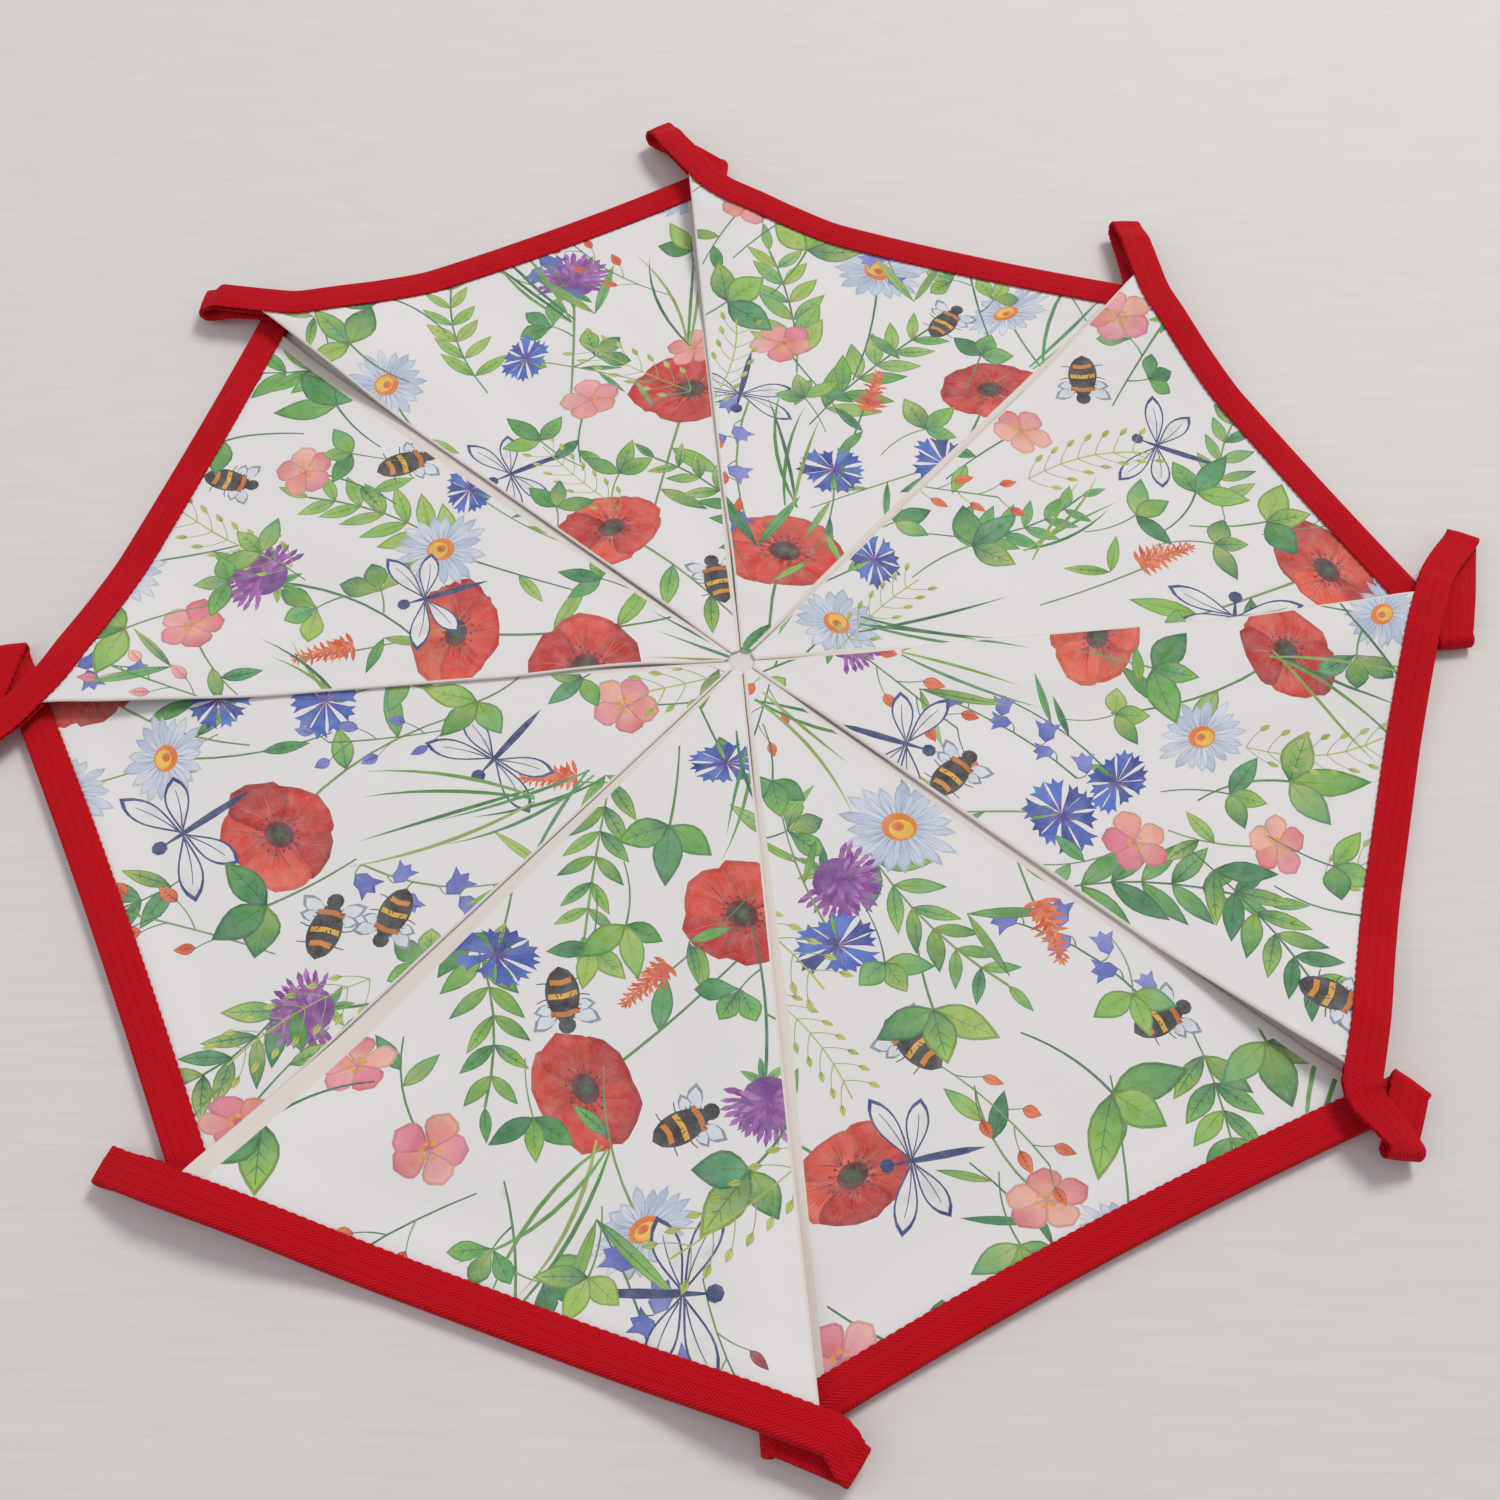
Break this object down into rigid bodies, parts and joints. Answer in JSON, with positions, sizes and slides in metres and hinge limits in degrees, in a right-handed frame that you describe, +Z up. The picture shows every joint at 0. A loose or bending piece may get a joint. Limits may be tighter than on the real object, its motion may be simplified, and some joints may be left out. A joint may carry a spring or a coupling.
{
  "type": "fabric bunting",
  "caption": "Triangular cotton flags laid out as a wheel, points to the middle, bound along their top edges by one folded tape with a loop at each corner.",
  "frame": {"origin": "on the table, below the middle of the whole bunting's bounding box", "axes": "+Z up; the wheel's front, the side nearest the viewer in the picture, is towards -Y"},
  "size_m": [0.5682, 0.5824, 0.0137],
  "materials": {
    "flag_cloth": "matt plain-woven white cotton",
    "tape": "matt red herringbone twill"
  },
  "bodies": {
    "root": {"flag_1": "flag_cloth", "flag_2": "flag_cloth", "flag_3": "flag_cloth", "flag_4": "flag_cloth", "flag_5": "flag_cloth", "flag_6": "flag_cloth", "flag_7": "flag_cloth", "flag_8": "flag_cloth", "tape": "tape"}
  },
  "joints": []
}
